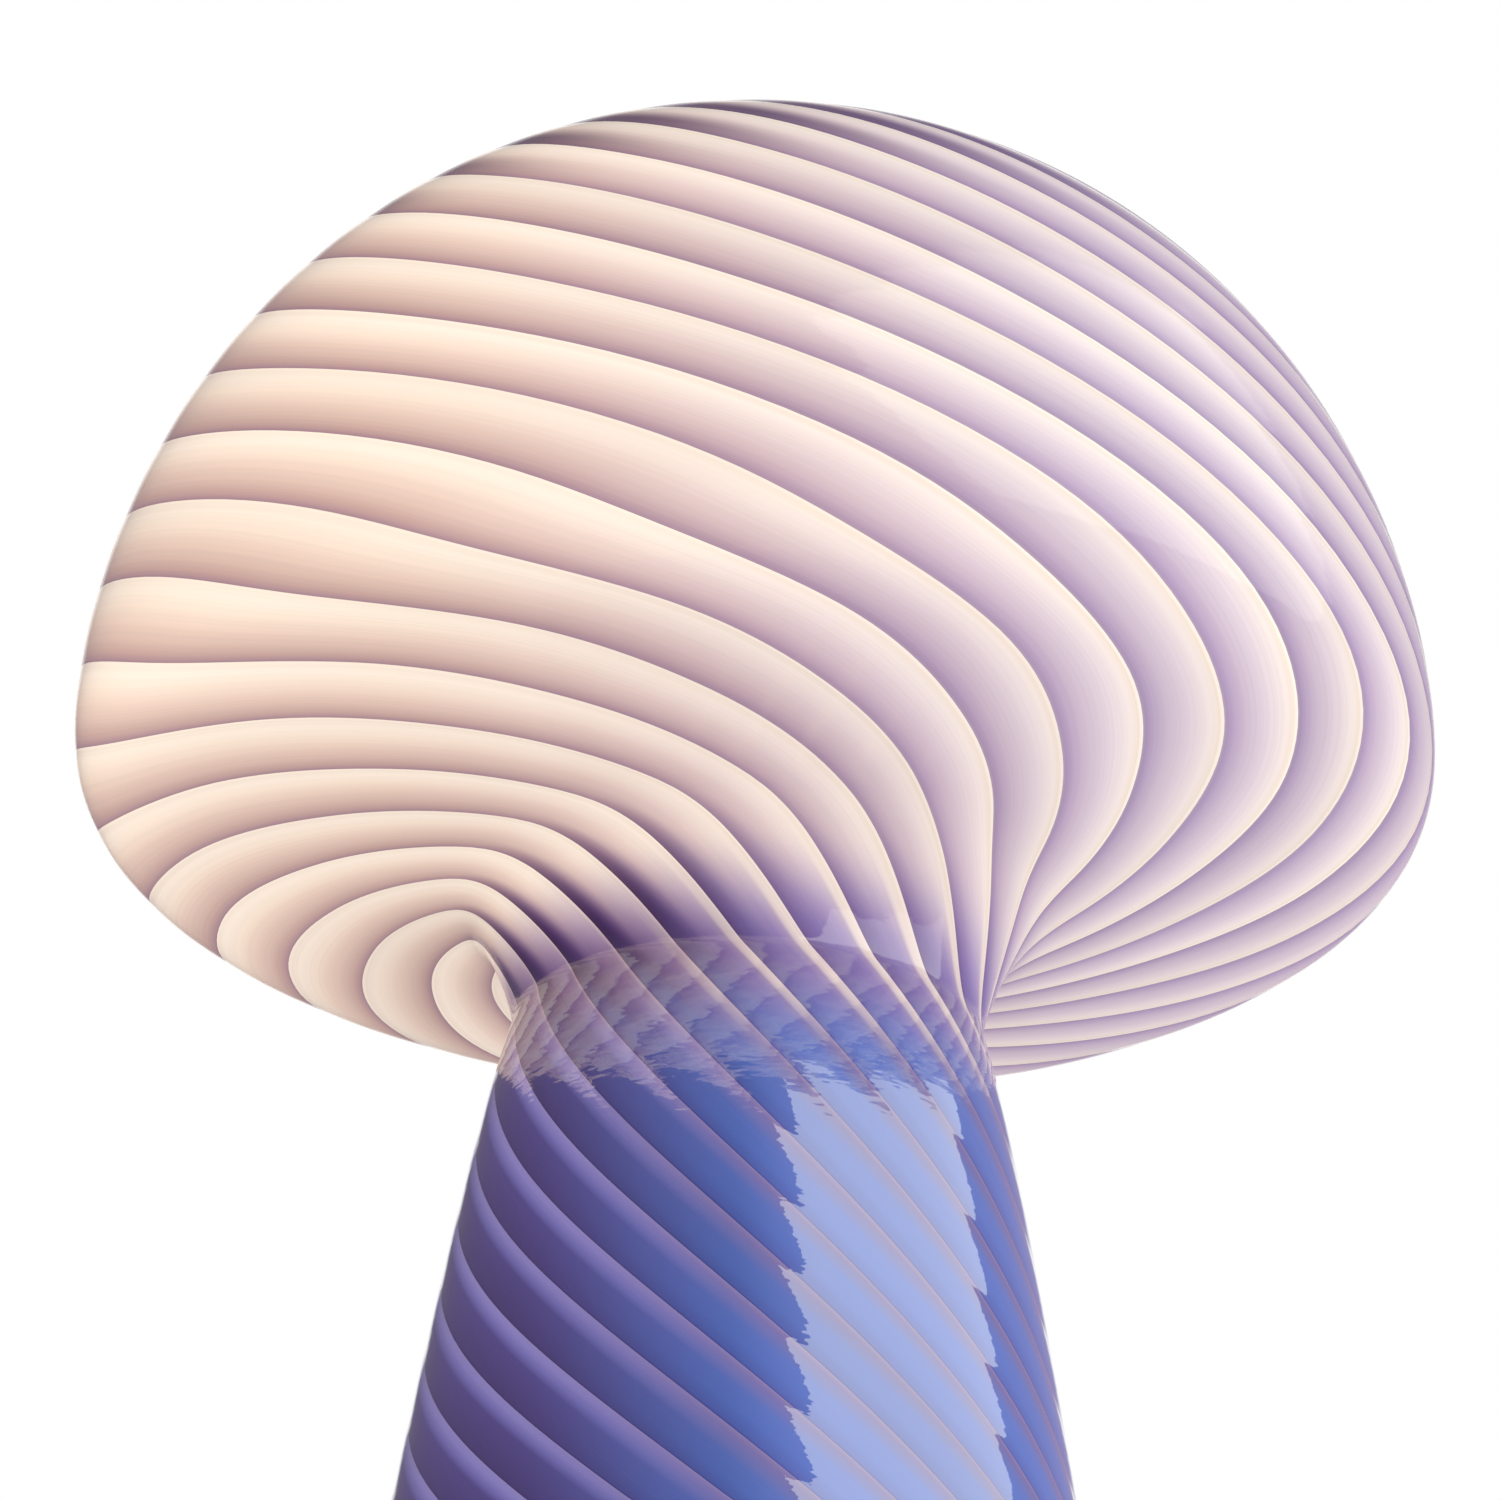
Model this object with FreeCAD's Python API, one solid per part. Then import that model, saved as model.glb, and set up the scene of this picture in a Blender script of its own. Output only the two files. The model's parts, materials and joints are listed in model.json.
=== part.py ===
import FreeCAD, Part
import math
import os

from FreeCAD import Vector

# Mushroom table lamp: one blown glass body with swirled ribs, standing on a steel pan that carries
# the lampholder on a riser. Millimetres, +Z up, origin on the table under the middle of the lamp.
# The front is towards -Y and the cord leaves at the back, towards +Y.

# Glass body, heights above the glass's own foot
cap_radius = 120.0        # widest, at the rim
rim_height = 169.0
cap_rise = 114.0          # from the rim to the top
crown_flat = 93.0         # how far the crown's flat curve reaches out
brow_height = 35.5        # how far the cap's side stays upright above the rim
rim_turn = 21.8           # how far it stays upright below the rim
crease_radius = 51.5      # where the underside meets the neck
crease_drop = 29.2        # below the rim
crease_slope = 15.0       # degrees, the underside's slope at the crease
underside_reach = 50.0
crease_turn = 4.0         # how soft the bend from underside to neck is
waist_radius = 41.1
neck_drop = 24.9          # from the crease down to the waist
waist_lean = 17.0         # degrees from upright
waist_turn_up = 5.2
waist_turn_down = 22.0
foot_radius = 62.1
foot_lean = 9.2
foot_turn = 30.0
glass_wall = 3.0

# Ribs
rib_count = 24
first_rib_angle = 183.0   # degrees about +Z, before any twist
rib_relief = 0.4          # crest above the valleys on the cap
stem_relief = 0.3
crest_across = 0.6        # the crest lies past the middle of each rib
relief_fade = 26.0        # length over which the ribs rise out of the smooth crown
spacing_sway = 4.4        # degrees, the hand-made unevenness, once around
sway_start = 17.8
spacing_ripple = 1.9      # the same, twice around
ripple_start = 5.7
crown_disc_radius = 5.0   # smooth middle of the crown where the ribs meet

# Twist in degrees at places down the wall: each curve of the outline, how far along it, and the twist
twist_places = [
    ("dome", 0.0, -62.0),
    ("dome", 0.32, 45.0),
    ("dome", 0.49, 115.0),
    ("dome", 0.62, 136.0),
    ("dome", 0.81, 170.0),
    ("dome", 1.0, 208.5),
    ("underside", 0.38, 239.0),
    ("underside", 0.69, 259.5),
    ("neck", 0.3, 290.5),
    ("neck", 1.0, 313.5),
    ("stem", 0.41, 363.5),
    ("stem", 0.91, 430.0),
    ("stem", 1.0, 443.5),
]

# Steel pan and its cover
feet_height = 2.0
feet_radius = 6.0
feet_inset = 12.0         # their middles, in from the pan's wall
feet_count = 4
feet_angle = 45.0
foot_edge = 0.8           # how round their lower edges are
pan_margin = 1.9          # the pan reaches this far past the glass
pan_sheet = 1.5
plateau_height = 5.0      # the middle stands this much above the ledge
pan_bend = 2.0            # outside radius of the pressed corner
cover_sheet = 1.5
cover_clearance = 0.3
standoff_count = 3
standoff_angle = 30.0     # the first one, clear of the cord at the back
standoff_inset = 12.8     # their middles, in from the plateau's edge
standoff_radius = 4.0
standoff_edge = 0.4
screw_radius = 1.5
screw_length = 8.0        # depth of the thread in the standoff
screw_spare = 1.0         # thread left free past the screw's end
screw_head_radius = 2.8
screw_head_height = 1.5
screw_head_edge = 0.65
screw_slot_width = 0.7
screw_slot_depth = 0.7
ring_floor = 1.5          # silicone under the glass
ring_lip = 1.0            # silicone between the plateau and the glass
ring_lip_height = 3.5
glass_clearance = 0.3     # the glass lifts off the ring
seat_clearance = 0.1      # between pieces that are pushed together by hand

# Cord inlet
cord_hole_radius = 3.1
bush_wall = 1.1
bush_flange_step = 0.8    # how far the flanges stand out past the hole in the pan
bush_flange = 1.5
bush_room = 0.25          # above and below the flanges, inside the pan

# Riser
rod_radius = 5.0
rod_bore_radius = 3.5
rod_below = 9.0           # rod under the plateau
rod_hole_clearance = 0.2
washer_width = 4.0
washer_sheet = 1.0
washer_teeth = 12
washer_tooth_depth = 1.4
nut_wall = 2.0            # between the rod and the nut's flats
nut_height = 4.0
nut_cone_slope = 2.0      # how fast the cone that turns off its corners widens
collar_flange = 4.0       # how far the collar stands out past the tube
collar_rim = 1.5          # thickness of its flange, and of its wall at the top
collar_height = 5.0
collar_recess = 3.0
tube_gap = 1.0            # between the rod and the tube
tube_wall = 1.0
tube_length = 66.0

# Lampholder
holder_radius = 14.0
holder_wall = 1.5
holder_floor = 3.0
cup_bend = 2.6            # outside radius at the cup's bottom
cup_height = 14.0
rod_in_cup = 5.0
shell_length = 34.0
shell_wall = 1.2
shell_overlap = 6.0
shoulder_height = 3.0     # the ring that sits on the cup
shoulder_slope = 1.5
mouth_turn = 1.0          # how far the mouth is turned in
mouth_depth = 2.0
insert_height = 11.0
insert_pocket_depth = 3.0
terminal_radius = 1.4
terminal_circle = 7.0
terminal_length = 5.0
terminal_spare = 0.5
terminal_head_step = 0.8
terminal_head_height = 1.2
sleeve_radius = 7.9       # outside of its thread crests
sleeve_wall = 0.4
sleeve_length = 16.0
sleeve_flange_step = 0.5
sleeve_flange = 0.6
sleeve_stand = 1.0        # its thread starts this far above the pocket's floor
pocket_clearance = 0.2
contact_width = 3.0
contact_sheet = 0.4
contact_rise = 2.0
contact_gap = 0.5         # between the leaf's flat end and the sleeve
contact_bend = 3.2        # where it starts to rise
contact_crown = 1.4       # half its level middle
contact_tail = 2.8        # the short side that points down again
contact_tail_drop = 0.9

# Bulb
thread_pitch = 2.8
thread_depth = 0.5
thread_clearance = 0.1
bulb_thread_turns = 4
bulb_gap = 0.3            # the tip stands this far off the spring leaf
tip_radius = 2.4
tip_height = 1.6
tip_dome_radius = 3.1
insulator_height = 3.0
insulator_step = 0.6
insulator_edge = 0.3
bulb_skirt_step = 1.5     # the skirt stands out past the thread
bulb_skirt_height = 7.0
bulb_skirt_slope = 1.6
bulb_sheet = 0.3
cement_gap = 0.2          # between the skirt and the globe's neck
globe_radius = 22.5
globe_wall = 0.8
globe_neck_height = 9.0
globe_in_skirt = 4.0
flare_start = 5.0         # how far the neck stays straight, and the ball round,
flare_end = 8.0           # into the flare between them
flare_angle = 38.0        # degrees below the ball's middle where the flare meets it
bulb_length = 76.0
mount_height = 26.0
mount_tip_radius = 1.6
mount_rim = 0.8
mount_cone = 4.0
mount_shoulder = 3.0      # its radius at the top of the cone
mount_drawn = 12.0        # where it has narrowed to the rod
filament_count = 4
filament_radius = 0.9
filament_length = 26.0
filament_ring_low = 3.5
filament_ring_high = 8.5
filament_lean = 28.6      # degrees round from the low end to the high end
filament_drop = 1.0       # their middle, below the ball's middle
lead_radius = 0.35
lead_below = 3.0          # where the leads meet under and over the filaments
lead_above = 2.5
stalk_spare = 0.5         # the middle wire runs past both meeting points

back = Vector(0, 1, 0)
up = Vector(0, 0, 1)


def put(shape, name):
    shape.exportStep("parts/" + name + ".step")


def turned(points):
    """A solid of revolution about Z from (radius, height) points."""
    corners = [Vector(r, 0, z) for r, z in points]
    wire = Part.makePolygon(corners + corners[:1])
    return Part.Face(wire).revolve(Vector(0, 0, 0), up, 360)


def pipe(outer, inner, low, high):
    """A straight tube about Z."""
    tube = Part.makeCylinder(outer, high - low, Vector(0, 0, low))
    if inner <= 0:
        return tube
    return tube.cut(Part.makeCylinder(inner, high - low, Vector(0, 0, low)))


def around(shape, count, first_angle=0.0):
    """Copies of a shape, evenly around Z, as one compound of separate solids."""
    copies = []
    for i in range(count):
        copy = shape.copy()
        copy.rotate(Vector(0, 0, 0), up, first_angle + 360.0 * i / count)
        copies.append(copy)
    return Part.makeCompound(copies)


# Sizes that follow from the glass, the cord and the rod
pan_radius = foot_radius + pan_margin
feet_circle = pan_radius - feet_inset
bush_radius = cord_hole_radius + bush_wall
bush_flange_radius = bush_radius + bush_flange_step
tube_radius = rod_radius + tube_gap + tube_wall
collar_radius = tube_radius + collar_flange

# Heights from the table up
cover_low = feet_height
cover_high = cover_low + cover_sheet
bush_centre = cover_high + bush_room + bush_flange_radius
ledge_under = bush_centre + bush_flange_radius + bush_room
ledge_top = ledge_under + pan_sheet
plateau_top = ledge_top + plateau_height
plateau_under = plateau_top - pan_sheet
glass_foot = ledge_top + ring_floor
rim_z = glass_foot + rim_height
crease_z = rim_z - crease_drop
waist_z = crease_z - neck_drop
collar_top = plateau_top + collar_height
tube_low = collar_top - collar_recess
holder_low = tube_low + tube_length


# The glass's outline

def leaning(degrees, length):
    """A step down the wall that leans outwards by an angle from upright."""
    a = math.radians(degrees)
    return Vector(math.sin(a) * length, 0, -math.cos(a) * length)


def curve(*points):
    arc = Part.BezierCurve()
    arc.setPoles(list(points))
    return arc.toShape()


def outline_poles():
    """The four curves of the outside without ribs, from the crown down to the foot, as their poles."""
    top = Vector(0, 0, rim_z + cap_rise)
    rim = Vector(cap_radius, 0, rim_z)
    crease = Vector(crease_radius, 0, crease_z)
    waist = Vector(waist_radius, 0, waist_z)
    foot = Vector(foot_radius, 0, glass_foot)
    slope = math.radians(crease_slope)
    inwards = Vector(-math.cos(slope), 0, -math.sin(slope))
    return {
        "dome": (top, top + Vector(crown_flat, 0, 0), rim + up * brow_height, rim),
        "underside": (rim, rim - up * rim_turn, crease - inwards * underside_reach, crease),
        "neck": (crease, crease + inwards * crease_turn, waist - leaning(waist_lean, waist_turn_up), waist),
        "stem": (waist, waist + leaning(waist_lean, waist_turn_down),
                 foot - leaning(foot_lean, foot_turn), foot),
    }


curves = {name: curve(*poles) for name, poles in outline_poles().items()}
station_counts = {"dome": 20, "underside": 10, "neck": 9, "stem": 12}
curve_starts = {}
wall_length = 0.0
for curve_name, edge in curves.items():
    curve_starts[curve_name] = wall_length
    wall_length += edge.Length


def along(curve_name, share):
    """Length down the wall from the crown to a place on one of the curves."""
    return curve_starts[curve_name] + curves[curve_name].Length * share


def wall_place(curve_name, share):
    """Point on the outline and the outward normal there."""
    edge = curves[curve_name]
    at = edge.getParameterByLength(edge.Length * share)
    point = edge.valueAt(at)
    run = edge.tangentAt(at)
    return point, Vector(-run.z, 0, run.x)


def twist_at(length):
    """Twist in degrees at a length down the wall: a smooth curve through the named places."""
    places = [(along(name, share), twist) for name, share, twist in twist_places]
    last = len(places) - 1
    k = 0
    while k < last - 1 and length > places[k + 1][0]:
        k += 1
    rates = []
    for i in (k, k + 1):
        before = places[max(i - 1, 0)]
        after = places[min(i + 1, last)]
        rates.append((after[1] - before[1]) / (after[0] - before[0]))
    (low, start), (high, end) = places[k], places[k + 1]
    span = high - low
    t = (length - low) / span
    return ((2 * t ** 3 - 3 * t ** 2 + 1) * start + (t ** 3 - 2 * t ** 2 + t) * span * rates[0]
            + (3 * t ** 2 - 2 * t ** 3) * end + (t ** 3 - t ** 2) * span * rates[1])


def rib_angle(i):
    """Where a rib starts before the twist: evenly spaced but for the maker's hand."""
    turn = 2 * math.pi * i / rib_count
    sway = spacing_sway * math.sin(turn - math.radians(sway_start))
    ripple = spacing_ripple * math.sin(2 * turn - math.radians(ripple_start))
    return first_rib_angle - 360.0 * i / rib_count + sway - ripple


def relief_at(length):
    """Height of the crests above the valleys."""
    rise = min(1.0, max(0.0, (length - crown_disc_radius) / relief_fade))
    down = min(1.0, max(0.0, (length - along("underside", 0)) / curves["underside"].Length))
    return rise * (rib_relief + (stem_relief - rib_relief) * down)


def stations():
    """Places down the wall that the ribs are drawn through."""
    found = [("dome", crown_disc_radius / curves["dome"].Length)]
    for name, count in station_counts.items():
        for i in range(1, count + 1):
            found.append((name, i / count))
    return found


def rib_end_angle(rib):
    """Where a rib ends: the next one's start, a turn on for the last."""
    if rib == 0:
        return rib_angle(rib_count - 1) + 360.0
    return rib_angle(rib - 1)


def rib_curve(rib, across, is_crest):
    """One curve down the wall at a share of the way across a rib. A crest's curve draws its face out: to
    the wall's own circle, so that it is round, and by twice the relief, because the face takes half."""
    start, end = rib_angle(rib), rib_end_angle(rib)
    half_width = math.radians(end - start) / 2
    places = stations()
    points = []
    lengths = []
    for name, share in places:
        length = along(name, share)
        point, normal = wall_place(name, share)
        if (name, share) in (places[0], places[-1]):
            normal = Vector(1, 0, 0)  # both ends stay level
        if is_crest:
            point = point + normal * 2 * relief_at(length)
            point.x += point.x * (1 - math.cos(half_width))
        angle = math.radians(start * (1 - across) + end * across + twist_at(length))
        points.append(Vector(point.x * math.cos(angle), point.x * math.sin(angle), point.z))
        lengths.append(length)
    column = Part.BSplineCurve()
    column.interpolate(Points=points, Parameters=lengths)
    return column


def rib_face(valley, crest, next_valley):
    """The outside of one rib: rounded from valley to valley and smooth along."""
    rows = [list(poles) for poles in zip(valley.getPoles(), crest.getPoles(), next_valley.getPoles())]
    surface = Part.BSplineSurface()
    surface.buildFromPolesMultsKnots(rows, valley.getMultiplicities(), [3, 3], valley.getKnots(),
                                     [0.0, 1.0], False, False, 3, 2)
    return surface.toShape()


def end_face(ribs, at_foot):
    """The level face that closes the ribbed skin at the crown or at the foot."""
    edges = []
    for face in ribs:
        level = [e for e in face.Edges if abs(e.Vertexes[0].Z - e.Vertexes[-1].Z) < 1e-4]
        level.sort(key=lambda e: e.Vertexes[0].Z)
        edges.append(level[0] if at_foot else level[-1])
    return Part.Face(Part.Wire(Part.__sortEdges__(edges)))


def set_in_poles(poles):
    """The poles of a curve set in by the wall: each leg between two poles moves in, and they meet again."""
    inward = []
    for a, b in zip(poles, poles[1:]):
        run = (b - a).normalize()
        inward.append(Vector(run.z, 0, -run.x) * glass_wall)
    moved = [poles[0] + inward[0]]
    for pole, before, after in zip(poles[1:], inward, inward[1:]):
        moved.append(pole + (before + after) / (1 + before * after / glass_wall ** 2))
    return moved + [poles[-1] + inward[-1]]


def glass_inside():
    """The cavity: the outline set in by the wall, with the mouth run out through the foot."""
    walls = [curve(*set_in_poles(poles)) for poles in outline_poles().values()]
    top = walls[0].Vertexes[0].Point
    end = walls[-1].Vertexes[-1].Point
    mouth = Vector(end.x, 0, glass_foot - glass_wall)
    middle = Vector(0, 0, mouth.z)
    closing = [Part.makeLine(end, mouth), Part.makeLine(mouth, middle), Part.makeLine(middle, top)]
    return Part.Face(Part.Wire(walls + closing)).revolve(Vector(0, 0, 0), up, 360)


def glass_body():
    """Blown glass with twisted ribs, open at the foot."""
    ribs = []
    for rib in range(rib_count):
        valley = rib_curve(rib, 0.0, False)
        crest = rib_curve(rib, crest_across, True)
        next_valley = rib_curve(rib, 1.0, False)
        ribs.append(rib_face(valley, crest, next_valley))
    faces = ribs + [end_face(ribs, True), end_face(ribs, False)]
    shell = Part.makeCompound(faces)
    shell.sewShape(1e-4)
    solid = Part.Solid(shell if shell.ShapeType == "Shell" else shell.Shells[0])
    if solid.Volume < 0:
        solid.reverse()
    return solid.cut(glass_inside())


def foot_inner_radius():
    point, normal = wall_place("stem", 1.0)
    return point.x - glass_wall * normal.x


plateau_radius = foot_inner_radius() - glass_clearance - ring_lip


def foot_ring():
    """Silicone ring: a floor under the glass and a lip inside it."""
    outside = pan_radius - pan_bend
    inside = plateau_radius
    lip_rise = ring_lip_height - ring_floor
    return turned([
        (inside, ledge_top),
        (outside, ledge_top),
        (outside, glass_foot),
        (inside + ring_lip, glass_foot),
        (inside + ring_lip - lip_rise * math.tan(math.radians(foot_lean)), ledge_top + ring_lip_height),
        (inside, ledge_top + ring_lip_height),
    ])


standoff_circle = plateau_radius - standoff_inset


def base_pan():
    """Pressed pan: outer wall, ledge for the glass, and a raised middle."""
    sheet = turned([
        (pan_radius - pan_sheet, feet_height),
        (pan_radius, feet_height),
        (pan_radius, ledge_top),
        (plateau_radius, ledge_top),
        (plateau_radius, plateau_top),
        (0, plateau_top),
        (0, plateau_under),
        (plateau_radius - pan_sheet, plateau_under),
        (plateau_radius - pan_sheet, ledge_under),
        (pan_radius - pan_sheet, ledge_under),
    ])
    rounded = [e for e in sheet.Edges if edge_is_ring(e, pan_radius, ledge_top)]
    sheet = sheet.makeFillet(pan_bend, rounded)
    rod_hole = Part.makeCylinder(rod_radius + rod_hole_clearance, plateau_top, Vector(0, 0, 0))
    return sheet.cut(rod_hole).cut(bush_hole())


def edge_is_ring(edge, radius, height):
    box = edge.BoundBox
    return abs(box.XMax - radius) < 1e-3 and abs(box.ZMax - height) < 1e-3 and box.ZLength < 1e-3


def bush_hole():
    return Part.makeCylinder(bush_radius, pan_radius, Vector(0, pan_radius / 2, bush_centre), back)


def cord_bush():
    """Rubber bush: a body through the wall, with a flange on each side."""
    length = pan_sheet + 2 * bush_flange
    start = Vector(0, pan_radius - pan_sheet - bush_flange, bush_centre)
    whole = Part.makeCylinder(bush_flange_radius, length, start, back)
    bore = Part.makeCylinder(cord_hole_radius, length, start, back)
    return whole.cut(bore).cut(base_pan())


def bottom_plate():
    """Cover with holes for its screws."""
    plate = pipe(pan_radius - pan_sheet - cover_clearance, 0, cover_low, cover_high)
    hole = Part.makeCylinder(screw_radius + seat_clearance, cover_sheet, Vector(standoff_circle, 0, cover_low))
    return plate.cut(around(hole, standoff_count, standoff_angle))


def edges_at(shape, height):
    """The level edges of a shape at a height."""
    return [e for e in shape.Edges if abs(e.BoundBox.ZMax - height) < 1e-6 and e.BoundBox.ZLength < 1e-6]


def plate_standoffs():
    """Threaded standoffs, swaged under the pan's middle."""
    base = Vector(standoff_circle, 0, cover_high)
    post = Part.makeCylinder(standoff_radius, plateau_under - cover_high, base)
    post = post.makeChamfer(standoff_edge, edges_at(post, cover_high))
    bore = Part.makeCylinder(screw_radius, screw_length, base)
    return around(post.cut(bore), standoff_count, standoff_angle)


def slotted_screw(radius, length, head_radius, head_height):
    """A screw pointing up, its head's underside at the origin, slot below."""
    shank = Part.makeCylinder(radius, length)
    head = Part.makeCylinder(head_radius, head_height, Vector(0, 0, -head_height))
    head = head.makeFillet(min(screw_head_edge, head_height / 2), edges_at(head, -head_height))
    slot = Part.makeBox(2 * head_radius, screw_slot_width, screw_slot_depth,
                        Vector(-head_radius, -screw_slot_width / 2, -head_height))
    return shank.fuse(head).cut(slot).removeSplitter()


def plate_screws():
    reach = cover_sheet + screw_length - screw_spare
    screw = slotted_screw(screw_radius, reach, screw_head_radius, screw_head_height)
    screw.translate(Vector(standoff_circle, 0, cover_low))
    return around(screw, standoff_count, standoff_angle)


def rubber_feet():
    """Round feet with a soft lower edge."""
    foot = Part.makeCylinder(feet_radius, feet_height, Vector(feet_circle, 0, 0))
    foot = foot.makeFillet(foot_edge, edges_at(foot, 0.0))
    return around(foot, feet_count, feet_angle)


def threaded_rod():
    return pipe(rod_radius, rod_bore_radius, plateau_under - rod_below, holder_low + rod_in_cup)


def lock_washer():
    """Toothed washer under the pan."""
    low = plateau_under - washer_sheet
    outside = rod_radius + washer_width
    ring = pipe(outside, rod_radius + rod_hole_clearance, low, plateau_under)
    notch = Part.makeCylinder(washer_tooth_depth / 2, washer_sheet, Vector(outside, 0, low))
    return ring.cut(around(notch, washer_teeth))


def rod_nut():
    """Hexagon nut, its lower corners turned off."""
    low = plateau_under - washer_sheet - nut_height
    half_flats = rod_radius + nut_wall
    corner = half_flats / math.cos(math.radians(30))
    points = []
    for side in range(7):
        angle = math.radians(60 * side)
        points.append(Vector(corner * math.cos(angle), corner * math.sin(angle), low))
    block = Part.Face(Part.makePolygon(points)).extrude(Vector(0, 0, nut_height))
    widest = half_flats + nut_cone_slope * nut_height
    turned_off = Part.makeCone(half_flats, widest, nut_height, Vector(0, 0, low))
    hole = Part.makeCylinder(rod_radius, nut_height, Vector(0, 0, low))
    return block.common(turned_off).cut(hole)


def tube_collar():
    """Turned collar that centres the riser tube over the rod."""
    return turned([
        (rod_radius + rod_hole_clearance, plateau_top),
        (collar_radius, plateau_top),
        (collar_radius, plateau_top + collar_rim),
        (tube_radius + collar_rim, collar_top),
        (tube_radius + seat_clearance, collar_top),
        (tube_radius + seat_clearance, tube_low),
        (rod_radius + rod_hole_clearance, tube_low),
    ])


def spacer_tube():
    return pipe(tube_radius, tube_radius - tube_wall, tube_low, holder_low)


# Lampholder, from its lower cup up
cup_top = holder_low + cup_height
insert_low = cup_top - shell_overlap
insert_top = insert_low + insert_height
pocket_floor = insert_top - insert_pocket_depth
shell_low = cup_top - shell_overlap
shell_top = cup_top + shell_length
shell_radius = holder_radius - holder_wall - seat_clearance
shell_bore = shell_radius - shell_wall
sleeve_flange_radius = sleeve_radius + sleeve_flange_step
sleeve_root = sleeve_radius - thread_depth - sleeve_wall
pocket_radius = sleeve_flange_radius + pocket_clearance
contact_reach = sleeve_root - contact_gap


def holder_cap():
    """Lower cup, screwed on the rod, with a rounded bottom edge."""
    cup = turned([
        (rod_radius, holder_low),
        (holder_radius, holder_low),
        (holder_radius, cup_top),
        (holder_radius - holder_wall, cup_top),
        (holder_radius - holder_wall, holder_low + holder_floor),
        (rod_radius, holder_low + holder_floor),
    ])
    edge = [e for e in cup.Edges if edge_is_ring(e, holder_radius, holder_low)]
    return cup.makeFillet(cup_bend, edge)


def holder_shell():
    """Outer sleeve: its skirt goes into the cup, its shoulder sits on it, its mouth is turned in."""
    mouth = shell_bore - mouth_turn
    return turned([
        (shell_bore, shell_low),
        (shell_radius, shell_low),
        (shell_radius, cup_top),
        (holder_radius, cup_top),
        (holder_radius, cup_top + shoulder_height),
        (shell_radius, cup_top + shoulder_height + shoulder_slope),
        (shell_radius, shell_top - mouth_turn),
        (shell_radius - mouth_turn, shell_top),
        (mouth, shell_top),
        (mouth, shell_top - mouth_depth),
        (shell_bore, shell_top - mouth_depth - mouth_turn),
    ])


def holder_insert():
    """Ceramic insert: a pocket for the sleeve, and holes for the terminals."""
    body = turned([
        (0, insert_low),
        (shell_bore - seat_clearance, insert_low),
        (shell_bore - seat_clearance, insert_top),
        (pocket_radius, insert_top),
        (pocket_radius, pocket_floor),
        (0, pocket_floor),
    ])
    hole = Part.makeCylinder(terminal_radius, terminal_length, Vector(terminal_circle, 0, insert_low))
    return body.cut(around(hole, 2))


def terminal_screws():
    head = terminal_radius + terminal_head_step
    screw = slotted_screw(terminal_radius, terminal_length - terminal_spare, head, terminal_head_height)
    screw.translate(Vector(terminal_circle, 0, insert_low))
    return around(screw, 2)


def centre_contact():
    """Spring leaf: flat on the pocket's floor, rising to the middle, its short side bent down."""
    top = contact_rise
    slip = contact_sheet / 2  # the lower side's corners lie a little further in
    outline_points = [
        (-contact_reach, 0.0),
        (-contact_reach, contact_sheet),
        (-contact_bend, contact_sheet),
        (-contact_crown, top),
        (contact_crown, top),
        (contact_tail, top - contact_tail_drop),
        (contact_tail - slip, top - contact_tail_drop - slip),
        (contact_crown - slip, top - contact_sheet),
        (slip - contact_crown, top - contact_sheet),
        (slip - contact_bend, 0.0),
    ]
    corners = [Vector(x, -contact_width / 2, pocket_floor + z) for x, z in outline_points]
    return Part.Face(Part.makePolygon(corners + corners[:1])).extrude(back * contact_width)


def thread_outline(radius, low, turns):
    """Points up a rounded thread, as rings of crests and roots."""
    points = []
    steps = 6
    for i in range(turns * steps + 1):
        wave = 0.5 - 0.5 * math.cos(2 * math.pi * i / steps)
        points.append((radius - thread_depth * (1 - wave), low + thread_pitch * i / steps))
    return points


def set_in(points, wall):
    """The same outline from the other side of a thin wall, in the other order."""
    return [(r - wall, z) for r, z in reversed(points)]


def screw_sleeve():
    """Thin threaded sleeve with a foot flange, standing in the insert's pocket."""
    turns = int(sleeve_length / thread_pitch)
    outside = thread_outline(sleeve_radius, pocket_floor + sleeve_stand, turns)
    start = [(sleeve_root, pocket_floor)]
    flange = [(sleeve_flange_radius, pocket_floor), (sleeve_flange_radius, pocket_floor + sleeve_flange)]
    return turned(start + flange + outside + set_in(outside, sleeve_wall))


# Bulb, from its tip up
bulb_low = pocket_floor + contact_rise + bulb_gap
insulator_low = bulb_low + tip_height
thread_low = insulator_low + insulator_height
thread_top = thread_low + thread_pitch * bulb_thread_turns
skirt_top = thread_top + bulb_skirt_height
globe_low = skirt_top - globe_in_skirt
globe_top = bulb_low + bulb_length
globe_centre = globe_top - globe_radius
bulb_thread_radius = sleeve_root - thread_clearance
bulb_root = bulb_thread_radius - thread_depth - bulb_sheet
bulb_skirt_radius = bulb_thread_radius + bulb_skirt_step
globe_neck_radius = bulb_skirt_radius - bulb_sheet - cement_gap


def bulb_tip():
    """Domed contact of the bulb."""
    dome = Part.makeSphere(tip_dome_radius, Vector(0, 0, bulb_low + tip_dome_radius))
    disc = Part.makeCylinder(tip_radius, tip_height, Vector(0, 0, bulb_low))
    return disc.common(dome)


def bulb_insulator():
    return turned([
        (0, insulator_low),
        (tip_radius, insulator_low),
        (tip_radius + insulator_step, insulator_low + insulator_edge),
        (bulb_root, thread_low),
        (0, thread_low),
    ])


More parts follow.
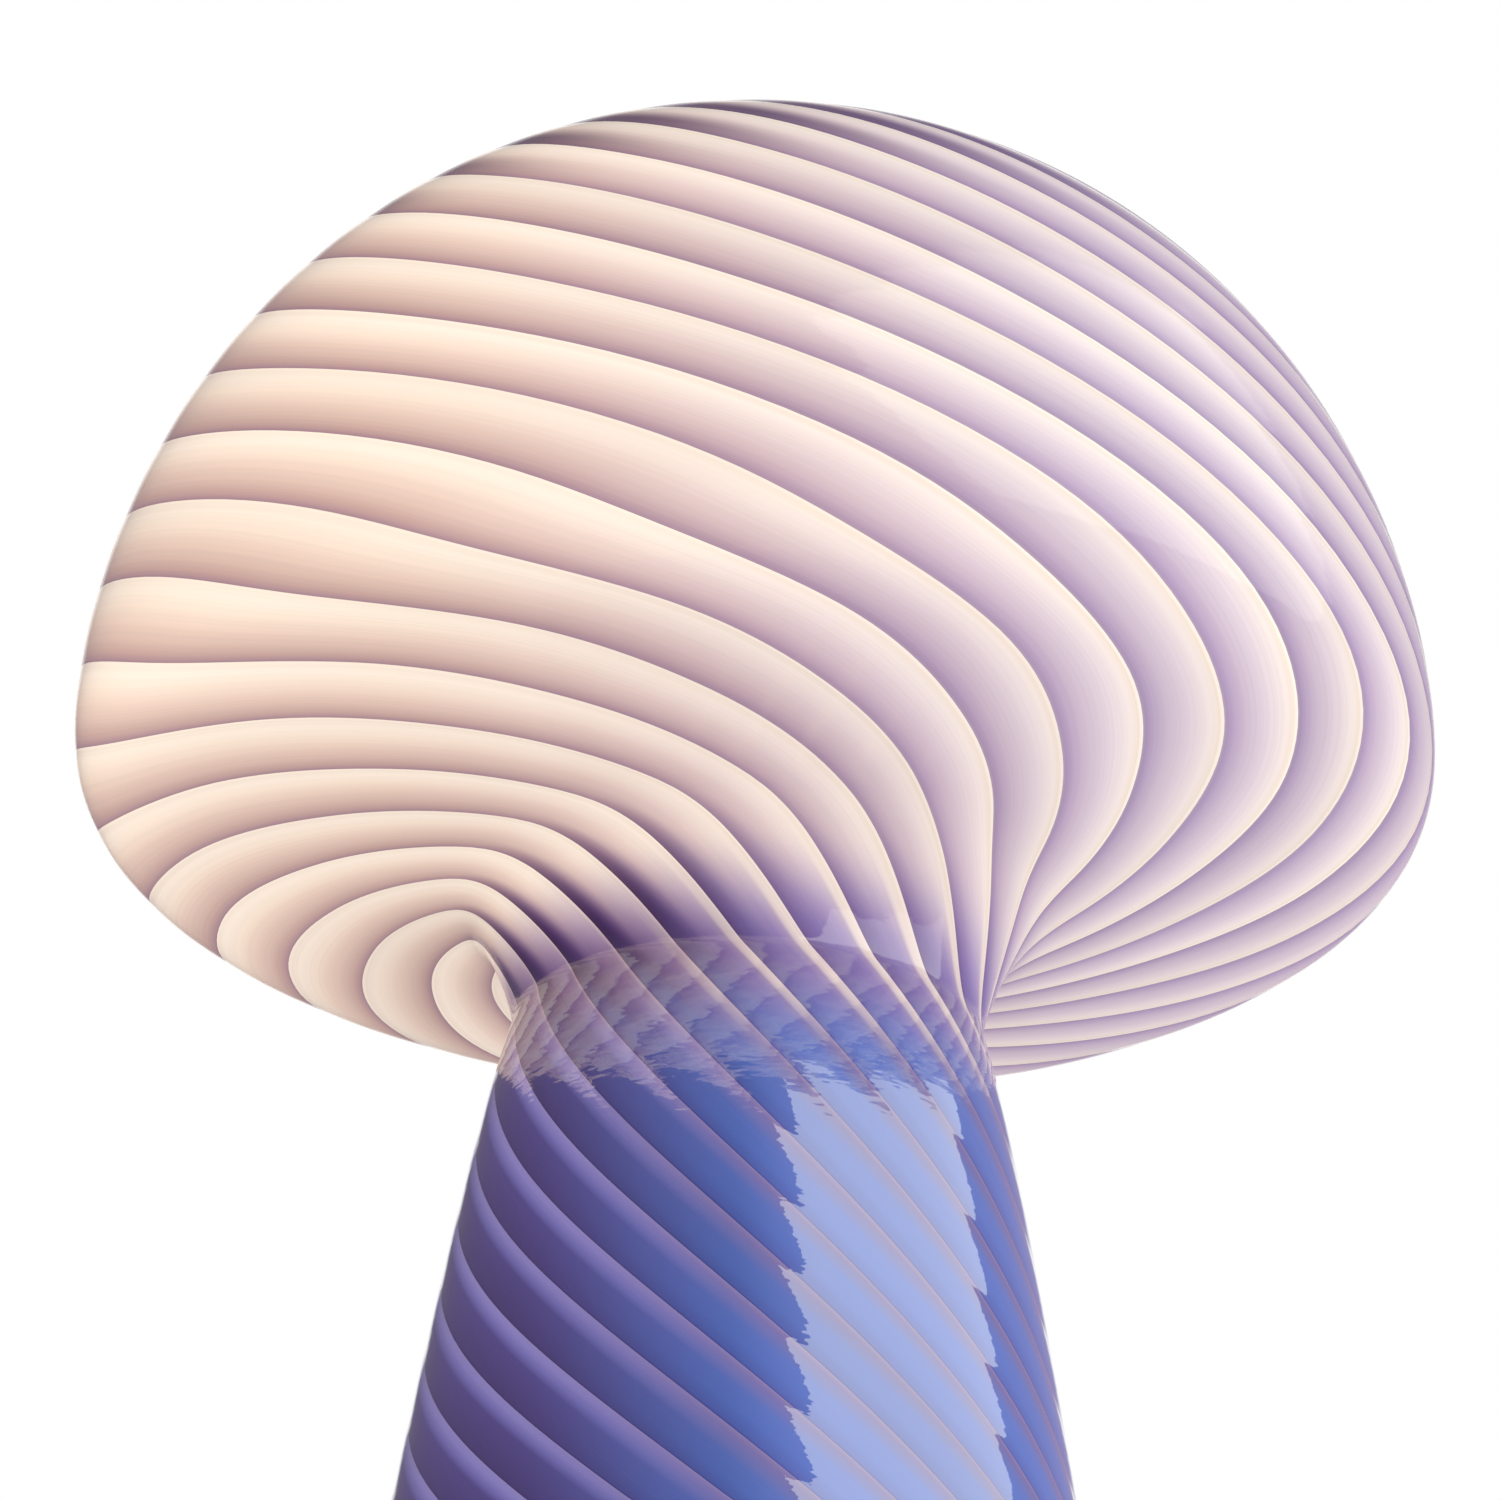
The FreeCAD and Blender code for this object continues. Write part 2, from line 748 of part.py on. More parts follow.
def bulb_cap():
    """Thin screw cap with a plain skirt."""
    outside = thread_outline(bulb_thread_radius, thread_low, bulb_thread_turns)
    outside += [(bulb_skirt_radius, thread_top + bulb_skirt_slope), (bulb_skirt_radius, skirt_top)]
    floor = [(bulb_root, thread_low + bulb_sheet), (0, thread_low + bulb_sheet), (0, thread_low)]
    return turned(outside + set_in(outside, bulb_sheet)[:-1] + floor)


def globe_wall_edges(inset):
    """One side of the globe's wall, from the foot of its neck to the top."""
    neck = globe_neck_radius - inset
    ball = globe_radius - inset
    start = Vector(neck, 0, globe_low)
    shoulder = Vector(neck, 0, globe_low + globe_neck_height)
    centre = Vector(0, 0, globe_centre)

    def on_ball(degrees):
        a = math.radians(degrees)
        return centre + Vector(math.cos(a), 0, math.sin(a)) * ball

    meet = on_ball(-flare_angle)
    run = (on_ball(90 - flare_angle) - centre).normalize()
    flare = curve(shoulder, shoulder + up * flare_start, meet - run * flare_end, meet)
    arc = Part.Arc(meet, on_ball((90 - flare_angle) / 2), on_ball(90)).toShape()
    return [Part.makeLine(start, shoulder), flare, arc]


def bulb_globe():
    """Blown envelope: a neck that flares into the ball, open at the bottom."""
    outer = globe_wall_edges(0.0)
    inner = globe_wall_edges(globe_wall)
    ends = [Part.makeLine(a.Vertexes[i].Point, b.Vertexes[i].Point)
            for a, b, i in ((outer[0], inner[0], 0), (outer[-1], inner[-1], -1))]
    return Part.Face(Part.Wire(Part.__sortEdges__(outer + inner + ends))).revolve(Vector(0, 0, 0), up, 360)


mount_top = globe_low + mount_height
filament_mid = globe_centre - filament_drop


def bulb_mount():
    """Glass mount: a flared foot on the neck, drawn up to a rod."""
    foot = globe_neck_radius - globe_wall
    return turned([
        (0, globe_low),
        (foot, globe_low),
        (foot, globe_low + mount_rim),
        (mount_shoulder, globe_low + mount_cone),
        (mount_tip_radius, globe_low + mount_drawn),
        (mount_tip_radius, mount_top),
        (0, mount_top),
    ])


def rod_between(start, end, radius):
    run = end - start
    return Part.makeCylinder(radius, run.Length, start, run)


def filament_ends(i):
    """Low and high end of a filament: the low ends stand close, the high ends spread."""
    ends = []
    for radius, turn, side in ((filament_ring_low, 0.0, -0.5), (filament_ring_high, filament_lean, 0.5)):
        angle = math.radians(360.0 * i / filament_count + turn)
        height = filament_mid + side * filament_length
        ends.append(Vector(radius * math.cos(angle), radius * math.sin(angle), height))
    return ends


def bulb_filaments():
    rods = [rod_between(*filament_ends(i), filament_radius) for i in range(filament_count)]
    return Part.makeCompound(rods)


def bulb_leads():
    """Wires that join the filaments' ends to the middle, and the stalk between them."""
    meet_low = Vector(0, 0, filament_mid - filament_length / 2 - lead_below)
    meet_high = Vector(0, 0, filament_mid + filament_length / 2 + lead_above)
    wires = rod_between(meet_low - up * stalk_spare, meet_high + up * stalk_spare, lead_radius)
    for i in range(filament_count):
        low, high = filament_ends(i)
        wires = wires.fuse(rod_between(meet_low, low, lead_radius))
        wires = wires.fuse(rod_between(high, meet_high, lead_radius))
    return wires.cut(bulb_filaments()).cut(bulb_mount())


os.makedirs("parts", exist_ok=True)
put(glass_body(), "glass_body")
put(foot_ring(), "foot_ring")
put(base_pan(), "base_pan")
put(cord_bush(), "cord_bush")
put(bottom_plate(), "bottom_plate")
put(plate_standoffs(), "plate_standoffs")
put(plate_screws(), "plate_screws")
put(rubber_feet(), "rubber_feet")
put(tube_collar(), "tube_collar")
put(spacer_tube(), "spacer_tube")
put(threaded_rod(), "threaded_rod")
put(lock_washer(), "lock_washer")
put(rod_nut(), "rod_nut")
put(holder_cap(), "holder_cap")
put(holder_insert(), "holder_insert")
put(terminal_screws(), "terminal_screws")
put(centre_contact(), "centre_contact")
put(screw_sleeve(), "screw_sleeve")
put(holder_shell(), "holder_shell")
put(bulb_tip(), "bulb_tip")
put(bulb_insulator(), "bulb_insulator")
put(bulb_cap(), "bulb_cap")
put(bulb_globe(), "bulb_globe")
put(bulb_mount(), "bulb_mount")
put(bulb_leads(), "bulb_leads")
put(bulb_filaments(), "bulb_filaments")
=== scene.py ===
import json
import math
import bpy
import numpy as np
from mathutils import Matrix, Vector


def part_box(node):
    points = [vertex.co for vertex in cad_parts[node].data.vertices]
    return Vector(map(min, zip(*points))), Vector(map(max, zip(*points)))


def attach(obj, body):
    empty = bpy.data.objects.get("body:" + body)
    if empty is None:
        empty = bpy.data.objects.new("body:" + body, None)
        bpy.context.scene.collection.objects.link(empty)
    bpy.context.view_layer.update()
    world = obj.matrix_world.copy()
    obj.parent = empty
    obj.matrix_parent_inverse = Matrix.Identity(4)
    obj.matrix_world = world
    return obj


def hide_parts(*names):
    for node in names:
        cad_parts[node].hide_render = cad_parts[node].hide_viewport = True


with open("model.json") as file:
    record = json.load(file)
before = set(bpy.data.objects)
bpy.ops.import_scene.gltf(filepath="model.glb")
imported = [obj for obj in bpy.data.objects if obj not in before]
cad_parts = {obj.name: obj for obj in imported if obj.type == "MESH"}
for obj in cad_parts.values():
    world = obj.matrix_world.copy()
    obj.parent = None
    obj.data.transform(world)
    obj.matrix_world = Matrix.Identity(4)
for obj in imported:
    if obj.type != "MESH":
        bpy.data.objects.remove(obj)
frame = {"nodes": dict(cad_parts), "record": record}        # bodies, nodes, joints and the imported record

# Mushroom table lamp: swirled glass shell on a steel pan, with a lampholder and bulb on a riser inside.
# Metres, +Z up, the origin on the table under the middle of the lamp, the front towards -Y.
scene = bpy.context.scene
nodes = frame["nodes"]
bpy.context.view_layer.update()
print("frame loaded:", len(nodes), "CAD nodes")


def paint(red, green, blue):
    # a colour in 0..255, turned into the linear numbers that shaders use
    def linear(value):
        share = value / 255
        return share / 12.92 if share <= 0.04045 else ((share + 0.055) / 1.055) ** 2.4
    return (linear(red), linear(green), linear(blue), 1.0)


def addNode(tree, kind, inputs=None, **settings):
    made = tree.nodes.new("ShaderNode" + kind)
    for key, value in settings.items():
        setattr(made, key, value)
    for key, value in (inputs or {}).items():
        if isinstance(value, bpy.types.NodeSocket):
            tree.links.new(value, made.inputs[key])
        else:
            made.inputs[key].default_value = value
    return made


def calc(tree, operation, *values):
    return addNode(tree, "Math", dict(enumerate(values)), operation=operation).outputs[0]


def fade(tree, value, low, high):
    # 0 below low, 1 above high, soft between
    made = addNode(tree, "MapRange", {"Value": value, "From Min": low, "From Max": high},
                   interpolation_type="SMOOTHSTEP")
    return made.outputs["Result"]


def blendColors(tree, share, first, second, how="MIX"):
    made = addNode(tree, "Mix", {0: share, 6: first, 7: second}, data_type="RGBA", blend_type=how)
    return made.outputs[2]


def noise(tree, place, detail, scale=1.0):
    made = addNode(tree, "TexNoise", {"Vector": place, "Scale": scale, "Detail": detail})
    return made.outputs["Fac"]


def ramp(tree, value, stops):
    # stops of a place in 0..1 and a colour in 0..255, straight from one to the next
    made = addNode(tree, "ValToRGB", {"Fac": value})
    elements = made.color_ramp.elements
    while len(elements) < len(stops):
        elements.new(0.5)
    for element, (place, color) in zip(elements, stops):
        element.position = place
        element.color = paint(*color)
    return made.outputs["Color"]


def newMaterial(name, **sockets):
    material = bpy.data.materials.new(name)
    material.use_nodes = True
    tree = material.node_tree
    shader = tree.nodes["Principled BSDF"]
    for key, value in sockets.items():
        shader.inputs[key.replace("_", " ")].default_value = value
    return material, tree, shader


def bareMaterial(name):
    material = bpy.data.materials.new(name)
    material.use_nodes = True
    material.node_tree.nodes.clear()
    return material, material.node_tree


def dress(piece, material):
    piece.data.materials.clear()
    piece.data.materials.append(material)


glassShape = {
    # metres, and degrees for slopes and leans: the outside from the crown to the foot, fitted to the
    # photograph and rounded, apart from the foot, which it doesn't show
    "capRadius": 0.120, "rimHeight": 0.169, "capRise": 0.1139, "crownFlat": 0.093, "browHeight": 0.0355,
    "rimTurn": 0.0218, "creaseRadius": 0.0515, "creaseDrop": 0.0292, "creaseSlope": 15.0,
    "undersideReach": 0.050, "creaseTurn": 0.004, "waistRadius": 0.0411, "neckDrop": 0.0249,
    "waistLean": 17.0, "waistTurnUp": 0.0052, "waistTurnDown": 0.022, "footRadius": 0.0621,
    "footLean": 9.2, "footTurn": 0.030, "wall": 0.003,
    # rounding of the crease: its step, and in steps the mean's reach and how far off it is whole and gone
    "creaseStep": 0.0035, "meanReach": 2.5, "meanSamples": 41, "roundWhole": 1.6, "roundGone": 5.6,
    # fineness of the mesh: rings down the outside, round the foot's edge and up the inside
    "curvePoints": 600, "rows": {"dome": 72, "underside": 40, "neck": 36, "stem": 48},
    "poleReach": 0.006, "poleRows": 4, "edgeRows": 6, "insideRows": 90, "insideStop": 0.002,
    "poleLift": 0.00001,
}
ribShape = {
    # degrees for angles; relief is how far a rib stands proud, crestAcross where its crest is in 0..1
    "count": 24, "columns": 12, "firstAngle": 183.0, "sway": 4.4, "swayStart": 17.8, "ripple": 1.9,
    "rippleStart": 5.7, "relief": 0.0001, "fadeIn": 0.026, "crestAcross": 0.6,
}
twistPlaces = [
    # curve, share of its length, turn of the ribs in degrees, fitted to the photograph and rounded
    ("dome", 0.0, 36.0), ("dome", 0.32, 86.0), ("dome", 0.49, 113.4), ("dome", 0.62, 134.2),
    ("dome", 0.81, 168.4), ("dome", 1.0, 208.2), ("underside", 0.38, 238.5), ("underside", 0.69, 259.3),
    ("underside", 0.93, 277.9), ("neck", 0.3, 294.3), ("neck", 1.0, 314.5), ("stem", 0.41, 365.0),
    ("stem", 0.91, 430.5), ("stem", 1.0, 444.0),
]


def bezier(a, b, c, d, count):
    t = np.linspace(0, 1, count)[:, None]
    return (1 - t) ** 3 * a + 3 * t * (1 - t) ** 2 * b + 3 * t * t * (1 - t) * c + t ** 3 * d


def leaning(degrees, length):
    # a step down the wall, as radius and height, that leans outwards from upright
    a = math.radians(degrees)
    return np.array([math.sin(a), -math.cos(a)]) * length


def glassCurves():
    # the four curves of the outside, crown to foot, each as many points of radius and height
    g = glassShape
    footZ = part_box("glass_body")[0].z
    rimZ = footZ + g["rimHeight"]
    creaseZ = rimZ - g["creaseDrop"]
    top = np.array([0.0, rimZ + g["capRise"]])
    rim = np.array([g["capRadius"], rimZ])
    crease = np.array([g["creaseRadius"], creaseZ])
    waist = np.array([g["waistRadius"], creaseZ - g["neckDrop"]])
    foot = np.array([g["footRadius"], footZ])
    slope = math.radians(g["creaseSlope"])
    inwards = -np.array([math.cos(slope), math.sin(slope)])
    level, upright = np.array([1.0, 0.0]), np.array([0.0, 1.0])
    fine = g["curvePoints"]
    return {
        "dome": bezier(top, top + level * g["crownFlat"], rim + upright * g["browHeight"], rim, fine),
        "underside": bezier(rim, rim - upright * g["rimTurn"],
                            crease - inwards * g["undersideReach"], crease, fine),
        "neck": bezier(crease, crease + inwards * g["creaseTurn"],
                       waist - leaning(g["waistLean"], g["waistTurnUp"]), waist, fine),
        "stem": bezier(waist, waist + leaning(g["waistLean"], g["waistTurnDown"]),
                       foot - leaning(g["footLean"], g["footTurn"]), foot, fine),
    }


curves = glassCurves()
curveLength = {}
for curveName, points in curves.items():
    curveLength[curveName] = np.hypot(*np.diff(points, axis=0).T).sum()
curveStart = {}
wallLength = 0.0
for curveName, length in curveLength.items():
    curveStart[curveName] = wallLength
    wallLength += length
outline = np.vstack([points[:-1] for points in curves.values()] + [curves["stem"][-1:]])
outlineLength = np.concatenate([[0], np.cumsum(np.hypot(*np.diff(outline, axis=0).T))])


def rounded(points, lengths):
    # the crease as soft glass takes it: each point there is a mean over its neighbours
    g = glassShape
    step = g["creaseStep"]
    steps = np.linspace(-g["meanReach"], g["meanReach"], g["meanSamples"])
    weights = np.exp(-steps ** 2 / 2)
    around = lengths[:, None] + steps[None, :] * step
    mean = np.stack([(np.interp(around, lengths, points[:, i]) * weights).sum(1) for i in (0, 1)], -1)
    mean /= weights.sum()
    away = np.abs(lengths - curveStart["neck"]) / step
    share = np.clip((g["roundGone"] - away) / (g["roundGone"] - g["roundWhole"]), 0, 1)[:, None]
    share = share * share * (3 - 2 * share)
    return points + (mean - points) * share


outline = rounded(outline, outlineLength)
outlineRun = np.gradient(outline, outlineLength, axis=0)


def wallPlace(lengths):
    # points of the outline and the outward normals there, at lengths down the wall
    points = np.stack([np.interp(lengths, outlineLength, outline[:, i]) for i in (0, 1)], -1)
    runs = np.stack([np.interp(lengths, outlineLength, outlineRun[:, i]) for i in (0, 1)], -1)
    runs /= np.linalg.norm(runs, axis=1, keepdims=True)
    return points, np.stack([-runs[:, 1], runs[:, 0]], -1)


def twistAt(lengths):
    # turn of the ribs in degrees: a smooth curve through the places above
    places = np.array([curveStart[name] + curveLength[name] * share for name, share, turn in twistPlaces])
    twists = np.array([turn for name, share, turn in twistPlaces])
    ahead = np.minimum(np.arange(len(places)) + 1, len(places) - 1)
    behind = np.maximum(np.arange(len(places)) - 1, 0)
    rates = (twists[ahead] - twists[behind]) / (places[ahead] - places[behind])
    k = np.clip(np.searchsorted(places, lengths) - 1, 0, len(places) - 2)
    span = places[k + 1] - places[k]
    t = (lengths - places[k]) / span
    return ((2 * t ** 3 - 3 * t ** 2 + 1) * twists[k] + (t ** 3 - 2 * t ** 2 + t) * span * rates[k]
            + (3 * t ** 2 - 2 * t ** 3) * twists[k + 1] + (t ** 3 - t ** 2) * span * rates[k + 1])


def ribStart(rib):
    # angle of a rib's first edge before the twist: even but for the maker's hand
    turn = -2 * np.pi * rib / ribShape["count"]
    sway = ribShape["sway"] * np.sin(turn - math.radians(ribShape["swayStart"]))
    ripple = ribShape["ripple"] * np.sin(2 * turn - math.radians(ribShape["rippleStart"]))
    return ribShape["firstAngle"] + 360 * rib / ribShape["count"] + sway - ripple


def glassRows():
    # every ring of the shell, outside then inside: its point of radius and height, the normal there,
    # the length down the wall and the ribs' relief
    g = glassShape
    lengths = [np.linspace(0, g["poleReach"], g["poleRows"])[1:-1]]
    for name, count in g["rows"].items():
        start = max(curveStart[name], g["poleReach"])
        lengths.append(np.linspace(start, curveStart[name] + curveLength[name], count, endpoint=False))
    lengths = np.concatenate(lengths)
    half = g["wall"] / 2
    lengths = lengths[lengths < wallLength - half]
    points, normals = wallPlace(lengths)
    relief = ribShape["relief"] * np.clip(lengths / ribShape["fadeIn"], 0, 1)
    rows = list(zip(points, normals, lengths, relief))
    # fire-polished foot: half a turn from the outside to the inside
    footNormal = wallPlace(np.array([wallLength]))[1][0]
    centre = wallPlace(np.array([wallLength - half]))[0][0] - footNormal * half
    run = np.array([footNormal[1], -footNormal[0]])
    for i in range(g["edgeRows"] + 1):
        a = math.pi * i / g["edgeRows"]
        way = footNormal * math.cos(a) + run * math.sin(a)
        rows.append((centre + way * half, way, wallLength - half, 0.0))
    inside = np.linspace(wallLength - half, g["insideStop"], g["insideRows"])[1:]
    points, normals = wallPlace(inside)
    points = points - normals * g["wall"]
    rows += [(p, -n, s, 0.0) for p, n, s in zip(points, normals, inside)]
    return rows


def gridMesh(name, rings, firstPole, lastPole, cornerValues):
    # closed rings of points joined by quads, with a fan at each pole, and named values on every corner
    ringCount, columns = rings.shape[:2]
    points = np.concatenate([rings.reshape(-1, 3), [firstPole, lastPole]])
    first, last = len(points) - 2, len(points) - 1
    quads = []
    values = {key: [] for key in cornerValues}
    for row in range(ringCount - 1):
        for column in range(columns):
            after = (column + 1) % columns
            a, b = row * columns, (row + 1) * columns
            quads.append((a + column, b + column, b + after, a + after))
            for key, grid in cornerValues.items():
                values[key] += [grid[row, column], grid[row + 1, column],
                                grid[row + 1, column + 1], grid[row, column + 1]]
    for pole, row in ((first, 0), (last, ringCount - 1)):
        for column in range(columns):
            after = (column + 1) % columns
            ends = (column, after) if pole == first else (after, column)
            quads.append((pole, row * columns + ends[0], row * columns + ends[1]))
            for key, grid in cornerValues.items():
                here = (grid[row, column], grid[row, column + 1])
                here = here if pole == first else here[::-1]
                values[key] += [sum(here) / 2, *here]
    mesh = bpy.data.meshes.new(name)
    mesh.from_pydata(points.tolist(), [], quads)
    for key, listed in values.items():
        layer = mesh.attributes.new(key, "FLOAT", "CORNER")
        layer.data.foreach_set("value", np.array(listed, np.float32))
    mesh.shade_smooth()
    piece = bpy.data.objects.new(name, mesh)
    scene.collection.objects.link(piece)
    return piece


def buildGlassShell():
    rows = glassRows()
    across = np.arange(ribShape["count"] * ribShape["columns"] + 1) / ribShape["columns"]
    rib = np.minimum(np.floor(across), ribShape["count"] - 1)
    share = across - rib
    start = ribStart(rib) * (1 - share) + ribStart(rib + 1) * share
    warp = math.log(0.5) / math.log(ribShape["crestAcross"])
    swell = np.sin(np.pi * share ** warp)
    lengths = np.array([row[2] for row in rows])
    angles = np.radians(start[None, :] + twistAt(lengths)[:, None])
    stand = np.array([row[3] for row in rows])[:, None] * swell[None, :]
    base = np.array([row[0] for row in rows])
    normal = np.array([row[1] for row in rows])
    radius = base[:, :1] + normal[:, :1] * stand
    height = base[:, 1:] + normal[:, 1:] * stand
    rings = np.stack([radius * np.cos(angles), radius * np.sin(angles), height + 0 * angles], -1)
    topOutside = (0, 0, base[0, 1] + glassShape["poleLift"])
    topInside = (0, 0, base[-1, 1] + glassShape["poleLift"])
    values = {"rib": np.repeat(across[None, :], len(rows), 0),
              "down": np.repeat(lengths[:, None], len(across), 1)}
    return gridMesh("glass_shell", rings[:, :-1], topOutside, topInside, values)


swirl = {
    # colours across a band, from the edge that a rib starts at to the edge where the next one does, set
    # until renders came close to the photograph's colours at the same places
    # in every ramp below, the run from dark to light across a band is partly the glass's own tint and
    # partly painted shade and painted highlight of the fluting; the lightest stops near a band's far edge
    # are a painted highlight
    "warmLitCap": [(0.0, (158, 128, 140)), (0.05, (180, 146, 148)), (0.13, (198, 165, 156)),
                (0.30, (219, 190, 176)), (0.48, (233, 207, 190)), (0.66, (246, 226, 207)),
                (0.86, (252, 237, 220)), (0.955, (246, 231, 214)), (0.98, (252, 236, 219)),
                (1.0, (252, 236, 219))],
    # painted light: the ramp above is the cap as warm light from the left paints it, this one as cool
    # light from the right paints it
    "coolLitCap": [(0.0, (178, 158, 176)), (0.04, (166, 145, 180)), (0.14, (184, 163, 194)),
                (0.30, (202, 184, 203)), (0.48, (214, 199, 212)), (0.66, (229, 215, 220)),
                (0.86, (243, 231, 225)), (0.945, (241, 226, 210)), (0.975, (250, 240, 228)),
                (1.0, (250, 240, 228))],
    # painted shade and light: the neck's violet passage from cream to blue is the glass's own; the left
    # ramp is darkened by painted shade of the crease, the right one paled by painted light
    "plumShadedNeck": [(0.0, (62, 36, 70)), (0.12, (58, 34, 82)), (0.35, (72, 48, 102)), (0.6, (92, 68, 122)),
                 (0.8, (106, 80, 132)), (0.93, (116, 92, 138)), (0.98, (144, 120, 152)),
                 (1.0, (164, 142, 164))],
    "paleLitNeck": [(0.0, (104, 80, 138)), (0.12, (112, 94, 158)), (0.35, (118, 102, 172)),
                 (0.62, (132, 114, 182)), (0.77, (158, 138, 186)), (0.84, (222, 206, 206)),
                 (0.92, (236, 222, 216)), (1.0, (238, 224, 220))],
    # painted light and shade: the stem's own blue, dimmed to plum at the left and brightened at the right
    # as the light falls
    "plumShadedStem": [(0.0, (50, 34, 90)), (0.05, (60, 44, 106)), (0.3, (66, 51, 116)), (0.62, (72, 60, 128)),
                 (0.74, (102, 96, 168)), (0.9, (130, 122, 190)), (0.985, (134, 126, 188)),
                 (1.0, (142, 128, 186))],
    "blueLitStem": [(0.0, (54, 70, 154)), (0.05, (66, 96, 180)), (0.3, (72, 112, 197)),
                 (0.6, (78, 114, 197)), (0.74, (94, 110, 180)), (0.9, (108, 103, 164)),
                 (0.975, (126, 112, 163)), (1.0, (146, 130, 171))],
    # painted shade: the dark sides of the bands deepen near the crown and at the upper left, standing in
    # for the dim room that the glass reflects at a grazing angle
    "crownShadeWarm": (102, 76, 90), "crownShadeCool": (96, 76, 122), "browShadeDepth": 0.24,
    # where a change starts and ends down the wall, in metres from the pole
    "crownShadeDown": (0.122, 0.086), "browShadeDown": (0.185, 0.125), "violetDown": (0.262, 0.288),
    "blueDown": (0.286, 0.306), "capCoatDown": (0.105, 0.165), "stemCoatDown": (0.281, 0.299),
    # the same from left to right, in metres from the lamp's axis
    "coolLightSide": (-0.07, 0.07), "blueLitSide": (-0.04, 0.02), "paleLitSide": (-0.024, 0.012),
    "browShadeSide": (-0.04, -0.1),
    # the same across a band
    "crownShadeAcross": (0.7, 0.2), "lagAcross": (0.06, 0.52),
    # metres that the neck's and stem's colours start lower within a band, how much of that the right
    # side gives back, and how much lower the whole right side starts
    "bandLag": 0.0105, "bandEase": -0.0072, "paleLag": 0.006, "tintPower": 0.3,
    # streaks across and along, and how much they and a band's own tone darken
    "streaks": 30.0, "streakLength": 8.0, "streakDepth": 0.15, "ownDepth": 0.09,
    "wander": 0.88, "wanderLength": 16.0, "wanderStep": 7.3,
    # the glossy coat and the ripples in it
    "crownCoat": 0.02, "capCoat": 0.19, "stemCoat": 1.0,
    "rippleSpread": (150.0, 150.0, 380.0), "rippleDepth": 0.00007,
    "surface": {"Roughness": 0.14, "IOR": 1.45, "Specular_IOR_Level": 0.1, "Coat_Roughness": 0.02,
                "Coat_IOR": 2.3},
}


def denser(tree, share, first, second):
    # from one colour to another as tinted glass gets thicker, which keeps the hue full on the way
    power = swirl["tintPower"]
    thin = []
    for color in (first, second):
        thin.append(addNode(tree, "Gamma", {"Color": color, "Gamma": power}).outputs[0])
    mixed = blendColors(tree, share, *thin)
    return addNode(tree, "Gamma", {"Color": mixed, "Gamma": 1 / power}).outputs[0]


def swirlColor(tree, across, down, sideways):
    s = swirl
    bands = {}
    # each band ramp: the glass's own tint with painted shade and painted highlight of the fluting
    for key in ("warmLitCap", "coolLitCap", "plumShadedNeck", "paleLitNeck", "plumShadedStem", "blueLitStem"):
        bands[key] = ramp(tree, across, s[key])
    # painted light: the cap turns from warm at the left to cool at the right, as the light falls
    coolLightShare = fade(tree, sideways, *s["coolLightSide"])
    cap = blendColors(tree, coolLightShare, bands["warmLitCap"], bands["coolLitCap"])
    # painted shade: the dark side of each band gets deeper towards the crown, and a little at the upper
    # left, for the dim room reflected at a grazing angle
    crownShadeShare = fade(tree, down, *s["crownShadeDown"])
    browShadeShare = calc(tree, "MULTIPLY", fade(tree, sideways, *s["browShadeSide"]), fade(tree, down, *s["browShadeDown"]))
    crownShadeShare = calc(tree, "MAXIMUM", crownShadeShare, calc(tree, "MULTIPLY", browShadeShare, s["browShadeDepth"]))
    shade = calc(tree, "MULTIPLY", crownShadeShare, fade(tree, across, *s["crownShadeAcross"]))
    crownShadeColor = blendColors(tree, coolLightShare, paint(*s["crownShadeWarm"]), paint(*s["crownShadeCool"]))
    cap = blendColors(tree, shade, cap, crownShadeColor)
    # painted light: the stem dim and plum at the left, bright blue at the right
    blueLitShare = fade(tree, sideways, *s["blueLitSide"])
    stem = blendColors(tree, blueLitShare, bands["plumShadedStem"], bands["blueLitStem"])
    # painted shade at the left of the neck's crease, painted light at its right
    paleLitShare = fade(tree, sideways, *s["paleLitSide"])
    neck = blendColors(tree, paleLitShare, bands["plumShadedNeck"], bands["paleLitNeck"])
    # neck and stem start highest at a band's first edge, and the rest of the band follows lower down
    reach = calc(tree, "MULTIPLY_ADD", paleLitShare, s["bandEase"], s["bandLag"])
    lag = calc(tree, "MULTIPLY", fade(tree, across, *s["lagAcross"]), reach)
    lag = calc(tree, "MULTIPLY_ADD", paleLitShare, s["paleLag"], lag)
    depth = calc(tree, "SUBTRACT", down, lag)
    color = denser(tree, fade(tree, depth, *s["violetDown"]), cap, neck)
    return blendColors(tree, fade(tree, depth, *s["blueDown"]), color, stem)


